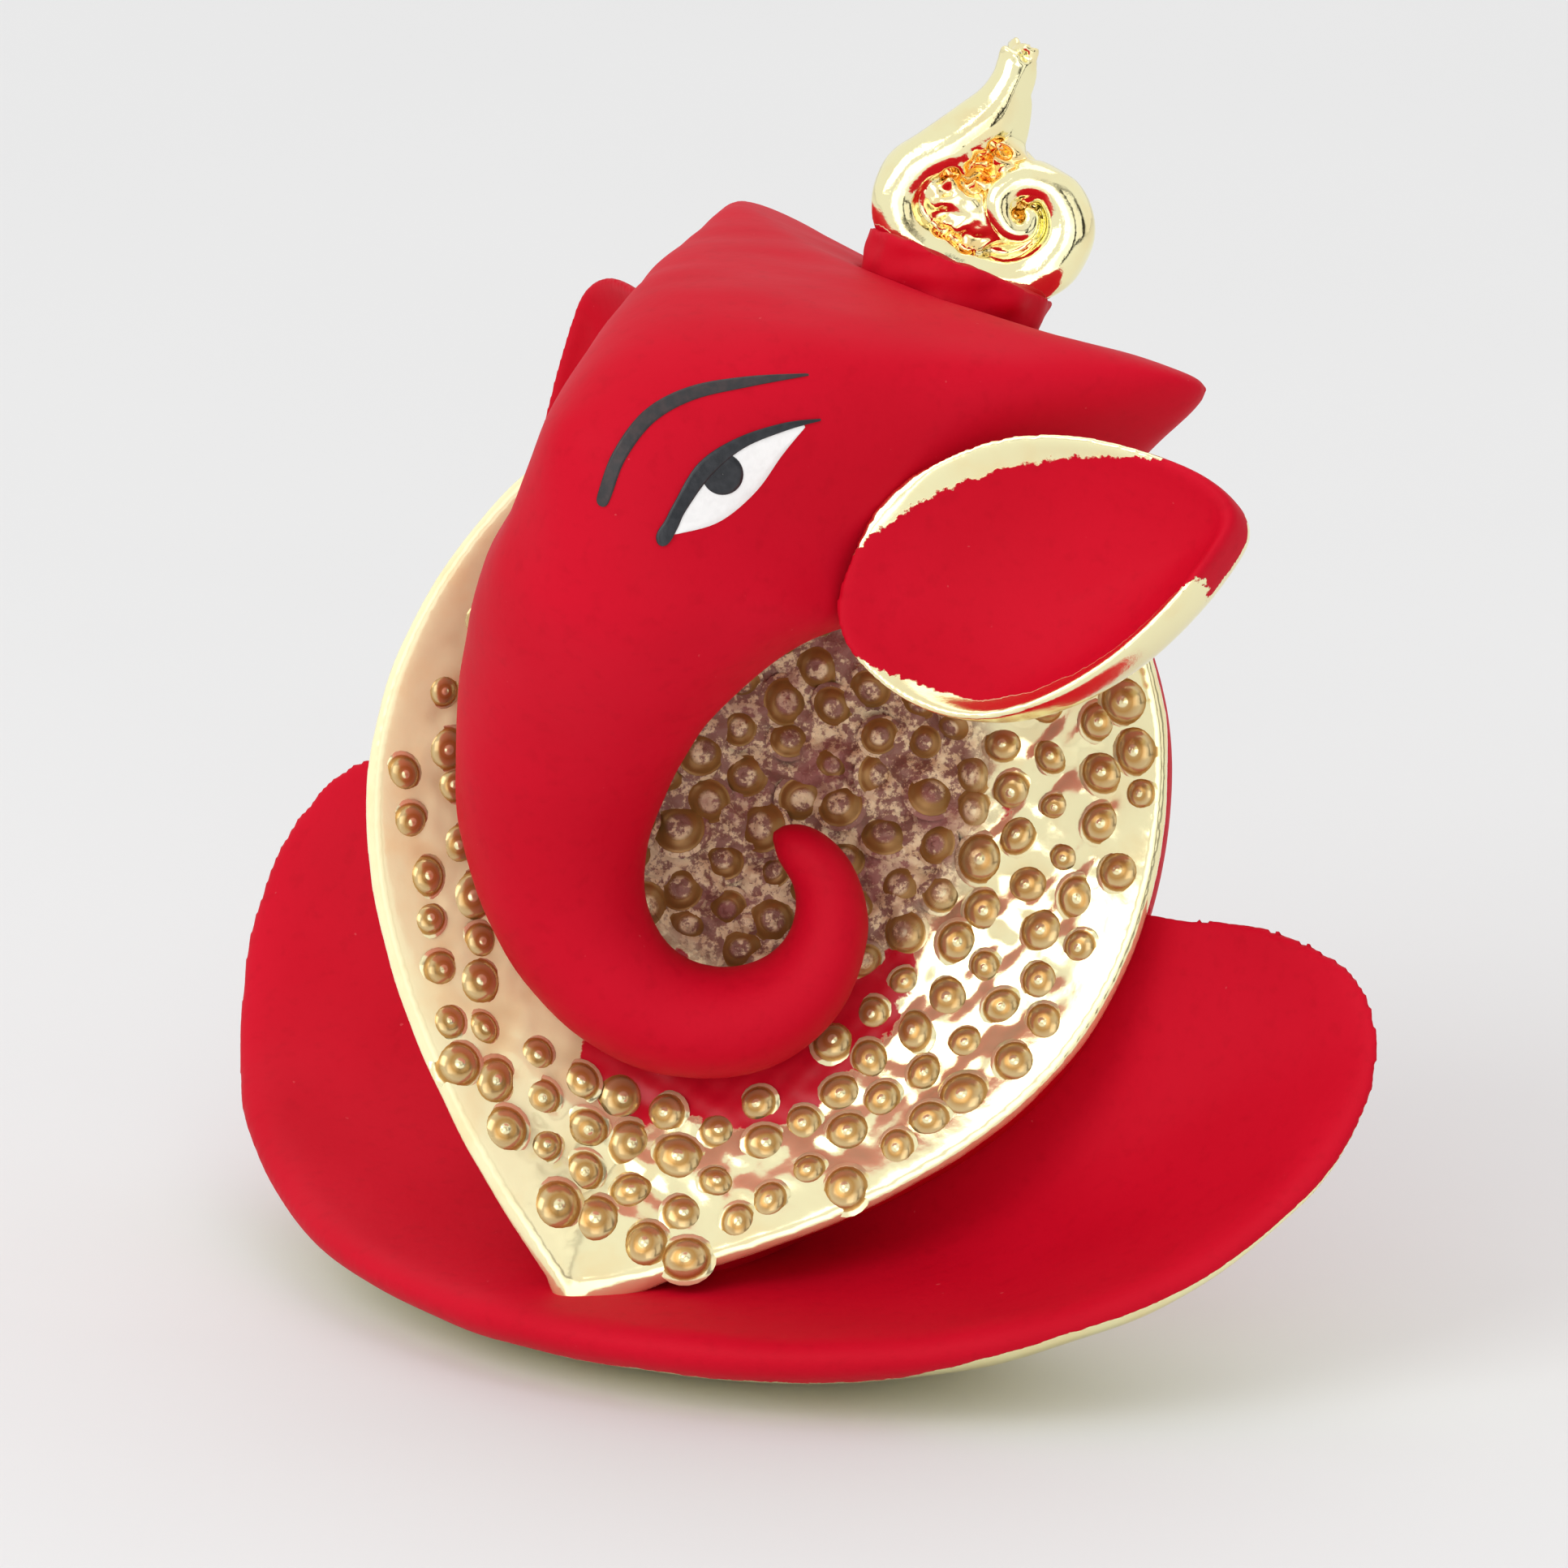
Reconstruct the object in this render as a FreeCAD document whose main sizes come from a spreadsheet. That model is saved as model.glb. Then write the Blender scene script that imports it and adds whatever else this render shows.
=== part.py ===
"""Small cast Ganesha figure: a matte red head and folded-leg dish with a beaded gold body leaf.

Millimetres, +Z up. The origin is the centre of the flat foot that the dish stands on.
Two local frames are used. The figure frame leans with the body: x to the side, z up along
its axis, -y out of its chest. The head frame is the figure frame turned about z, because
the head looks to one side. Nothing on the figure moves, so every piece is fixed.
"""
import FreeCAD, Part
import Sketcher
import math
import os
import random

V = FreeCAD.Vector

SIZES = {
    # Dish of folded legs: an oval bent back at its ends, tipped forward and turned with the head
    "dish_half_length": 37.3, "dish_half_depth": 14.3, "dish_sweep": 12.1, "dish_turn": 35,
    "rim_height": 16.0, "rim_tip": 11.4, "knee_lift": 2.05, "rim_wave": 2.0,
    "bowl_floor": 4.6, "lip_thickness": 2.3, "lip_roll": 0.5,
    "foot_half_length": 14.5, "foot_half_depth": 9.5, "foot_offset": 3,
    # Where the figure stands in the dish and how it leans
    "stand_x": -8.7, "stand_y": -9.9, "stand_z": 4.3, "lean_side": 22, "lean_back": 18,
    # Body leaf
    "leaf_tip": -0.6, "leaf_shift": -0.1, "leaf_height": 55, "leaf_centre": 28, "leaf_hollow": 6.0, "leaf_thickness": 2.4,
    "glue_gap": 0.05, "torso_depth": 16, "torso_skew": 0.14,
    # Head and trunk
    "head_turn": 42, "face_turn": 60, "hood_dip": 1.4, "jaw_height": 39.9, "jaw_forward": 15, "jaw_radius": 9.9,
    # Ears
    "ear_root": 12.4, "ear_slope": 0.511, "ear_cup": 4.2, "ear_back": 2.4,
    "far_ear_in": 3.0, "far_ear_down": 2.0,
    # Topknot
    "collar_radius": 5.6, "collar_neck": 4.9, "collar_bottom": 57.5, "collar_top": 61.9,
    "knot_side": -1.2, "boss_radius": 2.4,
    # Pearls and painted films
    "pearl_radius": 0.86, "pearl_pitch": 2.75, "paint_thickness": 0.1,
}

doc = FreeCAD.newDocument("ganesha_figure")
sheet = doc.addObject("Spreadsheet::Sheet", "Sizes")
for row, (alias, value) in enumerate(SIZES.items(), start=1):
    sheet.set("A%d" % row, alias)
    sheet.set("B%d" % row, str(value))
    sheet.setAlias("B%d" % row, alias)
doc.recompute()


def size(alias):
    """One driving dimension, read from the sheet."""
    return float(sheet.get(alias))


FIGURE = FreeCAD.Placement(
    V(size("stand_x"), size("stand_y"), size("stand_z")),
    FreeCAD.Rotation(V(1, 0, 0), -size("lean_back")) * FreeCAD.Rotation(V(0, 1, 0), size("lean_side")))
HEAD = FreeCAD.Placement(V(0, 0, 0), FreeCAD.Rotation(V(0, 0, 1), -size("head_turn")))


def skin(rings, corner=False):
    """A solid with a smooth side drawn towards rings of points.

    A ring of one point closes an end, other ends are flat. With corner, the side keeps a
    crease along the first point of every ring.
    """
    count = max(len(ring) for ring in rings)
    grid = [ring * count if len(ring) == 1 else list(ring) for ring in rings]
    along_knots = list(range(len(grid) - 1))
    along_mults = [3] + [1] * (len(grid) - 3) + [3]
    if corner:
        grid = [ring + ring[:1] for ring in grid]
        round_knots = list(range(count))
        round_mults = [3] + [1] * (count - 2) + [3]
    else:
        round_knots = list(range(count + 1))
        round_mults = [1] * (count + 1)
    surface = Part.BSplineSurface()
    surface.buildFromPolesMultsKnots(grid, along_mults, round_mults, along_knots, round_knots,
                                     False, not corner, 2, 2)
    faces = [surface.toShape()]
    low, high = surface.bounds()[:2]
    for ring, place in ((rings[0], low), (rings[-1], high)):
        if len(ring) > 1:
            faces.append(Part.Face(Part.Wire([surface.uIso(place).toShape()])))
    shell = Part.makeCompound(faces)
    shell.sewShape(0.001)
    solid = Part.Solid(shell.Shells[0] if shell.Shells else Part.Shell(shell.Faces))
    if solid.Volume < 0:
        solid.reverse()
    return solid


def moved(shape, placement):
    """A copy of the shape carried into another frame, with the move baked into its geometry."""
    return shape.transformGeometry(placement.toMatrix())


def single(shape):
    """The largest solid of a boolean's result."""
    return max(shape.Solids, key=lambda solid: solid.Volume)


def keep(label, shape, placement=FIGURE):
    """A document object that holds one piece."""
    piece = doc.addObject("Part::Feature", label)
    piece.Label = label
    piece.Shape = shape
    piece.Placement = placement
    return piece


# ---------------------------------------------------------------- dish of folded legs

def dish_rim(angle):
    """A point of the rim, in the dish's own frame: 0 is one knee, 90 degrees is the back."""
    side = math.cos(angle)
    back = math.sin(angle)
    return V(size("dish_half_length") * side,
             size("dish_half_depth") * back + size("dish_sweep") * side ** 2 - size("foot_offset"),
             size("rim_height") + size("rim_tip") * back + size("knee_lift") * math.cos(2 * angle)
             + size("rim_wave") * math.sin(3 * angle))


def dish_ring(place):
    """Points round the dish, each at place(angle)."""
    count = 28
    return [place(2 * math.pi * i / count) for i in range(count)]


def bowl_point(share, angle):
    """A point of the hollow top, at a share of the way from the middle to the rim."""
    rim = dish_rim(angle)
    floor = size("bowl_floor")
    return V(rim.x * share, rim.y * share, floor + (rim.z - floor) * share ** 2)


def lip_point(out, drop, angle):
    """A point of the rounded lip, out past the rim and down from it."""
    rim = dish_rim(angle)
    flat = V(rim.x, rim.y, 0).normalize()
    return rim + flat * out - V(0, 0, drop)


def under_point(share, angle):
    """A point of the underside, at a share of the way from the foot to the lip."""
    foot = V(size("foot_half_length") * math.cos(angle), size("foot_half_depth") * math.sin(angle), 0)
    rim = dish_rim(angle)
    lift = max(rim.z - size("lip_thickness"), 0.6)
    return V(foot.x + (rim.x - foot.x) * share, foot.y + (rim.y - foot.y) * share, lift * share ** 1.25)


def dish_shape():
    """The whole dish: hollow top, rounded lip, full underside and flat foot."""
    lip = size("lip_thickness")
    roll = size("lip_roll")
    sections = [[V(0, 0, size("bowl_floor"))]]
    sections += [dish_ring(lambda a, s=s: bowl_point(s, a)) for s in (0.3, 0.6, 0.85, 0.97)]
    sections += [dish_ring(lambda a: lip_point(roll, 0.3 * lip, a)),
                 dish_ring(lambda a: lip_point(0.6 * roll, 0.75 * lip, a))]
    sections += [dish_ring(lambda a, s=s: under_point(s, a)) for s in (0.9, 0.6, 0.25, 0)]
    return skin(sections)


# ---------------------------------------------------------------- body leaf and torso

LEAF_SIDE = [(1.4, 2.9), (4, 6.6), (8, 11.3), (12, 15.2), (17, 18.9), (22, 21.3), (27, 22.4), (32, 22.4),
             (37, 21.5), (42, 19.7), (46, 17.0), (49.5, 13.6), (52.5, 9.2), (54.4, 4.4)]


def leaf_ring(share, out, skew=0.0):
    """The leaf's outline from its point and back, scaled about its middle and set out along the chest axis."""
    middle = size("leaf_centre")
    right = [(half, up) for up, half in LEAF_SIDE]
    left = [(-half, up) for half, up in reversed(right)]
    outline = [(0, size("leaf_tip"))] + right + [(0, size("leaf_height"))] + left
    shift = size("leaf_shift")
    return [V(x * share + shift - skew * out, -out, middle + (up - middle) * share) for x, up in outline]


def medallion_shape():
    """The hollow front leaf: a border that rolls out, and a floor that sinks to its middle."""
    hollow = size("leaf_hollow")
    thick = size("leaf_thickness")
    middle = size("leaf_centre")
    return skin([[V(0, hollow, middle)], leaf_ring(0.35, -0.9 * hollow), leaf_ring(0.7, -0.43 * hollow),
                 leaf_ring(0.92, 0.3), leaf_ring(0.975, 0.9), leaf_ring(1.0, 0.2), leaf_ring(0.97, -0.6 * thick),
                 leaf_ring(0.7, -0.43 * hollow - thick), leaf_ring(0.35, -0.9 * hollow - thick),
                 [V(0, hollow + thick, middle)]], corner=True)


def torso_shape():
    """The rounded body behind the leaf."""
    deep = size("torso_depth")
    skew = size("torso_skew")
    middle = size("leaf_centre")
    front = size("leaf_hollow") + size("leaf_thickness") + size("glue_gap")
    fall = -front + 0.57 * size("leaf_hollow")
    return skin([[V(0, front, middle)], leaf_ring(0.35, 0.1 * size("leaf_hollow") - front), leaf_ring(0.7, fall),
                 leaf_ring(0.95, -0.6 * size("leaf_thickness") - 3 * size("glue_gap")),
                 leaf_ring(0.98, -0.14 * deep, skew), leaf_ring(0.98, -0.3 * deep, skew),
                 leaf_ring(0.93, -0.6 * deep, skew), leaf_ring(0.76, -0.85 * deep, skew),
                 leaf_ring(0.42, -deep, skew), [V(skew * deep, deep, middle)]], corner=True)


# ---------------------------------------------------------------- head and trunk

# height, half width, reach to the front and reach to the back of the head's level sections
HEAD_LEVELS = [(60.9, 15.8, 6.2, 5.6), (60.9, 18.6, 7.6, 6.5), (59.4, 18.0, 11.6, 6.6), (56.4, 16.0, 18.6, 6.8),
               (53.0, 13.8, 22.6, 7.0), (50.0, 12.4, 24.8, 7.0), (47.0, 11.1, 26.5, 6.8), (44.2, 10.0, 27.6, 6.4)]


def head_section(up, half, front, back, dip=0.0, tilt=0.0, forward=0.0):
    """A section of the head: an oval, deeper in front, that may dip in the middle or tilt down in front."""
    points = []
    count = 20
    for i in range(count):
        angle = 2 * math.pi * i / count
        reach = front if math.sin(angle) < 0 else back
        along = reach * math.sin(angle)
        lift = dip * (math.cos(angle) ** 2 - 1) + tilt * along
        points.append(HEAD.multVec(V(half * math.cos(angle), along - forward, up + lift)))
    return points


def trunk_section(side, out, up, wide, deep, heading):
    """A section of the trunk, square to its heading in the chest plane, its points in line with the head's."""
    across = V(math.cos(heading), 0, math.sin(heading))
    points = []
    count = 20
    for i in range(count):
        angle = 2 * math.pi * i / count - math.radians(size("head_turn"))
        points.append(V(side, -out, up) + across * (wide * math.cos(angle)) + V(0, deep * math.sin(angle), 0))
    return points


# side, out, up, half width, half depth, and the section's turn in degrees
TRUNK = [(-12.2, 10.5, 34.2, 7.6, 8.2, -4), (-11.9, 6.2, 29.2, 6.6, 6.7, 2), (-10.7, 2.8, 23.8, 5.5, 5.5, 20),
         (-7.2, 0.2, 18.8, 4.4, 4.7, 50), (-2.0, -0.9, 16.4, 3.7, 4.0, 88), (3.0, -1.1, 17.5, 3.3, 3.6, 125),
         (5.8, -1.2, 20.6, 2.75, 3.2, 155), (6.3, -1.0, 24.2, 2.3, 2.8, 188), (4.7, -0.6, 27.5, 1.9, 2.3, 225),
         (1.5, -0.2, 28.6, 1.45, 1.7, 262)]


def head_shape():
    """The hooded head, drawn down into the trunk that curls on the chest."""
    top = HEAD_LEVELS[0][0]
    dip = size("hood_dip")
    jaw = size("jaw_radius")
    sections = [[V(0, 0, top - dip)]]
    sections += [head_section(up, half, front, back, dip=max(dip - 0.12 * (top - up), 0))
                 for up, half, front, back in HEAD_LEVELS]
    sections.append(head_section(size("jaw_height"), jaw, jaw, jaw, tilt=0.2, forward=size("jaw_forward")))
    sections += [trunk_section(s, o, u, w, d, math.radians(turn)) for s, o, u, w, d, turn in TRUNK]
    side, out, up = TRUNK[-1][:3]
    sections.append([V(side - 0.8, -out, up - 0.1)])
    return skin(sections)


# ---------------------------------------------------------------- ears

EAR_OUTLINE = [(9.9, 41.3), (9.7, 45.9), (11.1, 50.0), (14.1, 53.5), (17.7, 55.4), (21.6, 56.1), (25.5, 56.1),
               (27.7, 54.8), (27.4, 52.4), (26.5, 48.9), (24.7, 44.5), (22.0, 40.6), (18.8, 38.0), (14.9, 37.7),
               (11.3, 39.2)]
EAR_MIDDLE = 19.0


def ear_ring(share, out):
    """The ear's outline, scaled about its middle and set out from the ear's own slanted plane."""
    points = []
    for across, up in EAR_OUTLINE:
        x = EAR_MIDDLE + (across - EAR_MIDDLE) * share
        reach = size("ear_root") - size("ear_slope") * (x - EAR_OUTLINE[0][0])
        points.append(V(x, -(reach + out), 47.0 + (up - 47.0) * share))
    return points


def ear_shape():
    """One cupped ear in the head frame, on the side that the head turns away from."""
    cup = size("ear_cup")
    back = size("ear_back")
    middle = size("ear_root") - size("ear_slope") * (EAR_MIDDLE - EAR_OUTLINE[0][0])
    return skin([[V(EAR_MIDDLE, cup - middle, 47.0)], ear_ring(0.45, -0.82 * cup), ear_ring(0.8, -0.35 * cup),
                 ear_ring(0.96, 0.2), ear_ring(1.0, -0.35), ear_ring(0.9, -0.35 * cup - back),
                 ear_ring(0.5, -0.9 * cup - back), [V(EAR_MIDDLE, cup + back - middle, 47.0)]])


# ---------------------------------------------------------------- topknot

def origin_plane(body, role):
    """One of a body's own origin planes."""
    return [f for f in body.Origin.OriginFeatures if f.Role == role][0]


def collar_body():
    """The turned collar under the topknot, with the spigot that seats it in the head."""
    body = doc.addObject("PartDesign::Body", "topknot_collar")
    body.Label = "topknot_collar"
    sketch = body.newObject("Sketcher::SketchObject", "collar_profile")
    sketch.AttachmentSupport = (origin_plane(body, "XZ_Plane"), [""])
    sketch.MapMode = "FlatFace"
    low = size("collar_bottom")
    high = size("collar_top")
    neck = size("collar_neck")
    rim = size("collar_radius")
    corners = [V(0, low, 0), V(neck, low, 0), V(rim, high, 0), V(0, high, 0)]
    for i in range(4):
        sketch.addGeometry(Part.LineSegment(corners[i], corners[(i + 1) % 4]), False)
    for i in range(4):
        sketch.addConstraint(Sketcher.Constraint("Coincident", i, 2, (i + 1) % 4, 1))
    sketch.addConstraint(Sketcher.Constraint("Horizontal", 0))
    sketch.addConstraint(Sketcher.Constraint("Horizontal", 2))
    sketch.addConstraint(Sketcher.Constraint("PointOnObject", 0, 1, -2))
    sketch.addConstraint(Sketcher.Constraint("PointOnObject", 3, 1, -2))
    for name, kind, value, cell in (("low", "DistanceY", (-1, 1, 0, 1), "collar_bottom"),
                                    ("high", "DistanceY", (-1, 1, 3, 1), "collar_top"),
                                    ("neck", "DistanceX", (0, 1, 0, 2), "collar_neck"),
                                    ("rim", "DistanceX", (2, 2, 2, 1), "collar_radius")):
        index = sketch.addConstraint(Sketcher.Constraint(kind, *value, size(cell)))
        sketch.renameConstraint(index, name)
        sketch.setExpression("Constraints." + name, "Sizes." + cell)
    turned = body.newObject("PartDesign::Revolution", "collar_turning")
    turned.Profile = sketch
    turned.ReferenceAxis = (sketch, ["V_Axis"])
    turned.Angle = 360
    doc.recompute()
    body.Placement = FIGURE.multiply(FreeCAD.Placement(V(size("knot_side"), 0, 0), FreeCAD.Rotation()))
    return body


def tube(route):
    """A round tube through (side, out, up, radius) stations, each ring square to the route."""
    centres = [V(side, -out, up) for side, out, up, radius in route]
    rings = []
    count = 14
    for i, station in enumerate(route):
        before = centres[max(i - 1, 0)]
        after = centres[min(i + 1, len(centres) - 1)]
        heading = (after - before).normalize()
        level = V(0, 1, 0)
        across = heading.cross(level).normalize()
        rings.append([centres[i] + (level * math.cos(2 * math.pi * k / count)
                                    + across * math.sin(2 * math.pi * k / count)) * station[3]
                      for k in range(count)])
    return skin(rings)


# The rope of the knot: down from the spout, round under the middle and up the far side
ROPE = [(-2.7, 1.0, 74.5, 1.1), (-2.4, 1.0, 72.6, 1.3), (-2.6, 1.0, 70.4, 1.6), (-4.2, 1.0, 68.0, 1.65),
        (-5.8, 1.0, 65.8, 1.55), (-5.7, 1.0, 63.4, 1.55), (-3.6, 1.0, 62.1, 1.5), (-1.0, 1.0, 61.7, 1.5),
        (1.6, 1.0, 61.9, 1.6), (3.5, 1.0, 63.2, 1.75), (4.0, 1.0, 65.3, 1.65), (3.2, 1.2, 67.1, 1.5),
        (1.6, 1.5, 67.8, 1.3), (0.0, 1.8, 67.3, 1.15)]
# The rope's end, tucked in towards the middle
CURL = [(0.1, 1.8, 67.3, 1.1), (-0.9, 2.0, 66.4, 0.9), (-0.5, 2.1, 65.2, 0.75), (0.8, 2.1, 64.7, 0.6),
        (1.5, 2.0, 65.4, 0.5)]


def coil_shape():
    """The knotted rope with its spout, its tucked end and the boss that fills its middle."""
    boss = Part.makeSphere(size("boss_radius"), V(-1.4, -0.4, 64.8))
    return tube(ROPE).fuse([tube(CURL), boss])


# ---------------------------------------------------------------- pearls

def leaf_floor(side, up, leaf):
    """The point of the leaf's front under a place in the chest plane, or None outside the leaf."""
    ray = Part.makeLine(V(side, -8, up), V(side, 12, up))
    inside = leaf.common(ray)
    if not inside.Vertexes:
        return None
    return min((v.Point for v in inside.Vertexes), key=lambda p: p.y)


def leaf_half_width(up):
    """The leaf's half width at a height, straight between its outline's points."""
    outline = [(0, 0)] + LEAF_SIDE + [(size("leaf_height"), 0)]
    for (low, narrow), (high, wide) in zip(outline, outline[1:]):
        if low <= up <= high:
            return narrow + (wide - narrow) * (up - low) / (high - low)
    return 0.0


def pearl_group(up, side):
    """The name of the group that a pearl belongs to."""
    if up < 17:
        return "pearls_lower"
    if side < -8:
        return "pearls_right_flank"
    if side > 9:
        return "pearls_left_flank"
    return "pearls_hollow"


def pearl_shapes(leaf, head):
    """Small domes over the whole leaf, slightly uneven in place and size, clear of the trunk."""
    random.seed(11)
    pitch = size("pearl_pitch")
    groups = {}
    rows = int(size("leaf_height") / (0.87 * pitch))
    for row in range(1, rows + 1):
        up = row * 0.87 * pitch
        for column in range(-9, 10):
            side = (column + 0.5 * (row % 2)) * pitch + random.uniform(-0.42, 0.42)
            high = up + random.uniform(-0.42, 0.42)
            radius = size("pearl_radius") * random.uniform(0.86, 1.12)
            if abs(side) > leaf_half_width(high) - 1.9 or high < 3.4 or high > 52:
                continue
            floor = leaf_floor(side, high, leaf)
            if floor is None or head.isInside(floor + V(0, -0.3, 0), 0.01, True):
                continue
            dome = Part.makeSphere(radius, floor + V(0, 0.12, 0), V(0, -1, 0), 0, 90)
            if Part.Vertex(floor).distToShape(head)[0] < radius + 0.25:
                continue
            groups.setdefault(pearl_group(high, side), []).append(dome)
    return groups


# ---------------------------------------------------------------- painted eyes

# Brush strokes as (side, up, half width) stations in the chest plane, on the side the head shows
EYE_WHITE = [(-10.8, 41.4, 0), (-10.4, 42.2, 0.4), (-9.3, 44.0, 1.2), (-8.4, 46.2, 1.45),
             (-7.4, 48.3, 1.0), (-5.8, 50.3, 0)]
LID = [(-10.9, 40.8, 0), (-10.9, 41.1, 0.42), (-10.9, 41.5, 0.44), (-10.8, 43.4, 0.42), (-10.2, 45.8, 0.5),
       (-8.9, 47.9, 0.34), (-6.9, 49.7, 0.22), (-5.1, 50.9, 0)]
BROW = [(-14.8, 41.6, 0), (-14.8, 41.9, 0.36), (-14.85, 42.5, 0.4), (-14.9, 44.7, 0.42), (-14.2, 47.3, 0.44),
        (-12.5, 49.4, 0.4), (-9.8, 51.2, 0.3), (-6.5, 53.0, 0)]
PUPIL = (-9.2, 45.9, 1.2)
OUTWARD = V(-0.35, -0.93, 0.1).normalize()


def seen(vector):
    """A vector on the side of the face that is painted as listed."""
    return vector


def reflected(vector):
    """The vector's mirror image in the upright plane through the middle of the face."""
    across = FreeCAD.Rotation(V(0, 0, 1), -size("face_turn")).multVec(V(1, 0, 0))
    return vector - across * (2 * vector.dot(across))


def face_point(head, side, up, view):
    """The point of the face in front of a place in the chest plane, or the same on the far side."""
    start = view(V(side, -40, up))
    ray = Part.makeLine(start, view(V(side, 0, up)))
    return min((v.Point for v in head.common(ray).Vertexes), key=lambda p: p.distanceToPoint(start))


def stroke_film(head, stroke, view, layer=0):
    """A brush stroke as a thin film on the head, on the coat of paint that its layer number says."""
    low = view(OUTWARD) * (layer * size("paint_thickness"))
    high = view(OUTWARD) * ((layer + 1) * size("paint_thickness"))
    rings = [[face_point(head, *stroke[0][:2], view) + (low + high) * 0.5]]
    for before, (side, up, half), after in zip(stroke, stroke[1:], stroke[2:]):
        run = V(after[0] - before[0], after[1] - before[1], 0).normalize()
        across = [face_point(head, side - run.y * half * k, up + run.x * half * k, view)
                  for k in (1.1, 0.9, 0, -0.9, -1.1)]
        rings.append([p + high for p in across] + [p + low for p in reversed(across)])
    rings.append([face_point(head, *stroke[-1][:2], view) + (low + high) * 0.5])
    return skin(rings)


def pupil_film(head, view):
    """A round pupil painted over the white."""
    side, up, radius = PUPIL
    thick = size("paint_thickness")
    out = view(OUTWARD)
    return Part.makeCylinder(radius, thick, face_point(head, side, up, view) + out * thick, out)


def both_sides(paint):
    """What paint(view) lays on one side of the face, and the same on the other side."""
    return Part.makeCompound([paint(seen), paint(reflected)])


# ---------------------------------------------------------------- assembly

def build():
    """Every piece of the figure, in its place."""
    turn = FreeCAD.Placement(V(0, 0, 0), FreeCAD.Rotation(V(0, 0, 1), -size("dish_turn")))
    dish = dish_shape()
    keep("base_dish", dish, turn)
    dish_here = moved(dish, FIGURE.inverse().multiply(turn))

    collar = collar_body()
    collar_here = moved(collar.Shape, FIGURE.inverse())

    leaf = single(medallion_shape().cut(dish_here))
    head = single(head_shape().cut([collar_here, leaf]))
    torso = single(torso_shape().cut([head, dish_here]))
    keep("head_with_trunk", head)
    keep("chest_medallion", leaf)
    keep("torso_back", torso)

    across = HEAD.Rotation.multVec(V(1, 0, 0))
    ear = moved(ear_shape(), HEAD)
    keep("left_ear", single(ear.cut(head)))
    far_ear = ear.mirror(V(0, 0, 0), across)
    far_ear.translate(across * size("far_ear_in") - V(0, 0, size("far_ear_down")))
    keep("right_ear", single(far_ear.cut([head, leaf, torso])))

    coil = single(coil_shape().cut(collar_here))
    keep("topknot", coil)

    for name, domes in sorted(pearl_shapes(leaf, head).items()):
        keep(name, Part.makeCompound(domes))

    keep("eye_whites", both_sides(lambda view: stroke_film(head, EYE_WHITE, view)))
    keep("eye_pupils", both_sides(lambda view: pupil_film(head, view)))
    keep("eyelid_lines", both_sides(lambda view: stroke_film(head, LID, view, layer=1)))
    keep("eyebrows", both_sides(lambda view: stroke_film(head, BROW, view)))


build()
doc.recompute()

PIECES = [o for o in doc.Objects if o.TypeId in ("Part::Feature", "PartDesign::Body")]
for thing in doc.Objects:
    if "Invalid" in thing.State or "Error" in thing.State:
        raise RuntimeError("%s failed: %s" % (thing.Name, thing.State))
for piece in PIECES:
    if piece.Shape.isNull() or not piece.Shape.isValid():
        raise RuntimeError("%s has no valid shape" % piece.Label)

os.makedirs("parts", exist_ok=True)
for piece in PIECES:
    piece.Shape.exportStep("parts/%s.step" % piece.Label)
    box = piece.Shape.BoundBox
    print("%-18s solids %3d volume %9.1f  x %.1f..%.1f y %.1f..%.1f z %.1f..%.1f" % (
        piece.Label, len(piece.Shape.Solids), piece.Shape.Volume,
        box.XMin, box.XMax, box.YMin, box.YMax, box.ZMin, box.ZMax))
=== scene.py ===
"""Looks of the cast Ganesha figure: matte red paint, gold plating and slip-trailed pearls."""
import math
import random

import bpy
import numpy as np
from mathutils import Matrix, Vector
from mathutils.bvhtree import BVHTree


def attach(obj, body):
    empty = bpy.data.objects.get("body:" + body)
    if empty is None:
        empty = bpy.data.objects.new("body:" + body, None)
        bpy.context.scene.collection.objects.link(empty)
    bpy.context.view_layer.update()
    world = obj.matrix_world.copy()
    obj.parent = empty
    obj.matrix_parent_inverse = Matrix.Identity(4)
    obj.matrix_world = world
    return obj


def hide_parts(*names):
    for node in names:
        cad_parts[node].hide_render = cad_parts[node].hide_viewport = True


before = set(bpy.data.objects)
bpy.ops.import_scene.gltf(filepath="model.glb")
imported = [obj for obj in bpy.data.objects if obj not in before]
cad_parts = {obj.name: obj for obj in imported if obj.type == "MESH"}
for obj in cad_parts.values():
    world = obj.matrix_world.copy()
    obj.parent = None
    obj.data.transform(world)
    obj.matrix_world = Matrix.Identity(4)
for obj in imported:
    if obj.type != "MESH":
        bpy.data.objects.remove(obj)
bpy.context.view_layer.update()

MM = 0.001
# The figure's own frame: x to its side, z up its leaning axis, -y out of its chest
STAND = Vector((-8.7, -9.9, 4.3)) * MM
LEAN_SIDE = math.radians(22)
LEAN_BACK = math.radians(18)
HEAD_TURN = math.radians(42)
FACE_TURN = math.radians(60)
FIGURE = (Matrix.Translation(STAND) @ Matrix.Rotation(-LEAN_BACK, 4, "X")
          @ Matrix.Rotation(LEAN_SIDE, 4, "Y"))
CHEST_OUT = (FIGURE.to_3x3() @ Vector((0, -1, 0))).normalized()
# How far up the figure's axis the middle of the leaf is, in millimetres
LEAF_CENTRE_UP = 28

RED_LIT = (0.61, 0.003, 0.020, 1)
RED_CLOUD = (0.56, 0.002, 0.016, 1)
RED_DEEP = (0.41, 0.001, 0.010, 1)
RED_SPECK = (0.68, 0.08, 0.09, 1)
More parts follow.
